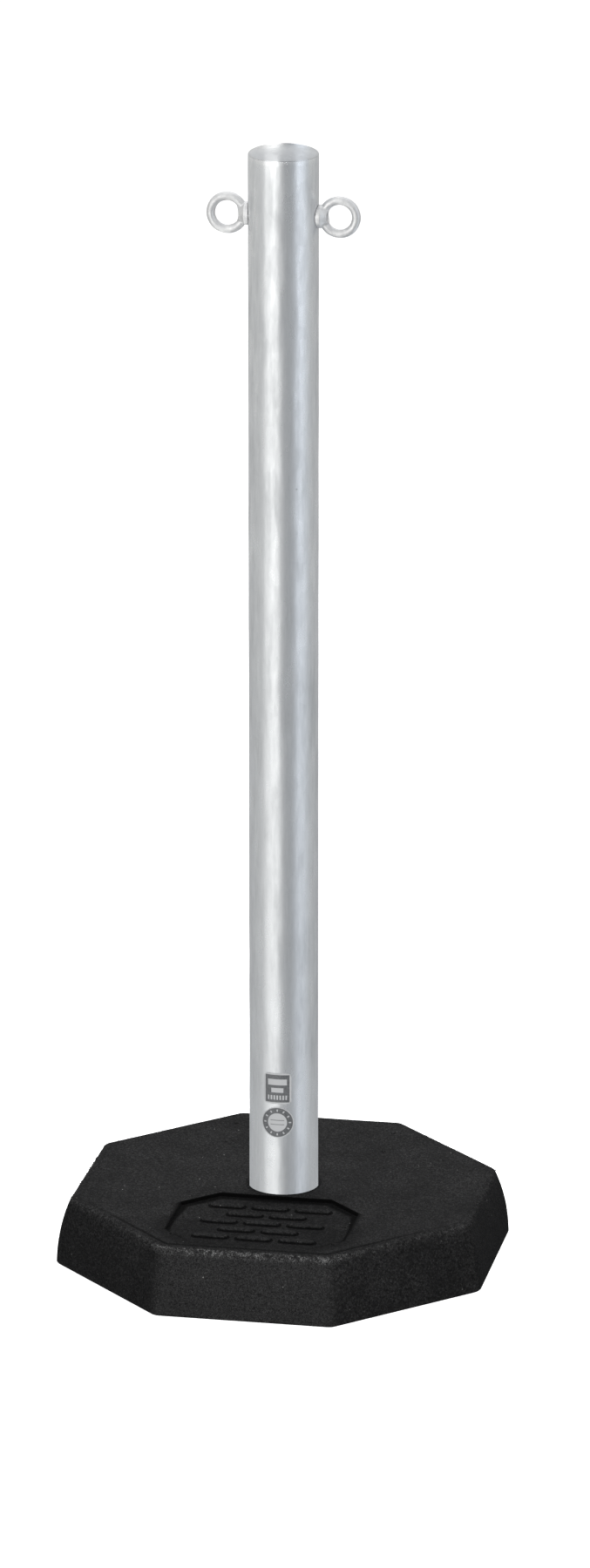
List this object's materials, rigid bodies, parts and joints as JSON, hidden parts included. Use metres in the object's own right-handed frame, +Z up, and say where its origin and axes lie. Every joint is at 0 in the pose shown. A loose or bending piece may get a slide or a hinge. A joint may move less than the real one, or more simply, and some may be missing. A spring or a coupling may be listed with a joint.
{
  "type": "free-standing chain post with a rubber base",
  "caption": "Free-standing chain post: galvanised round tube with a domed cap and two side eyes, standing in a heavy octagonal base of moulded recycled rubber.",
  "frame": {"origin": "centre of the octagonal base on the floor, below the axis of the tube", "axes": "+Z up along the tube, +X through the right eye, -Y towards the sunken panel of the base, which is the front"},
  "size_m": [0.375, 0.375, 0.985],
  "materials": {
    "recycled_rubber": "matte",
    "galvanised_steel": "satin",
    "zinc_coated_weld": "matte",
    "zinc_plated_steel": "satin",
    "zinc_coated_forging": "satin",
    "label_film": "satin"
  },
  "bodies": {
    "root": {"rubber_base": "recycled_rubber", "post_tube": "galvanised_steel", "top_cap": "galvanised_steel", "foot_plate": "galvanised_steel", "foot_weld": "zinc_coated_weld", "cross_stud": "zinc_plated_steel", "eye_nut_left": "zinc_coated_forging", "eye_nut_right": "zinc_coated_forging", "upper_label": "label_film", "lower_label": "label_film", "foot_screw_1": "zinc_plated_steel", "threaded_sleeve_1": "zinc_plated_steel", "foot_screw_2": "zinc_plated_steel", "threaded_sleeve_2": "zinc_plated_steel", "foot_screw_3": "zinc_plated_steel", "threaded_sleeve_3": "zinc_plated_steel", "foot_screw_4": "zinc_plated_steel", "threaded_sleeve_4": "zinc_plated_steel"}
  },
  "joints": []
}
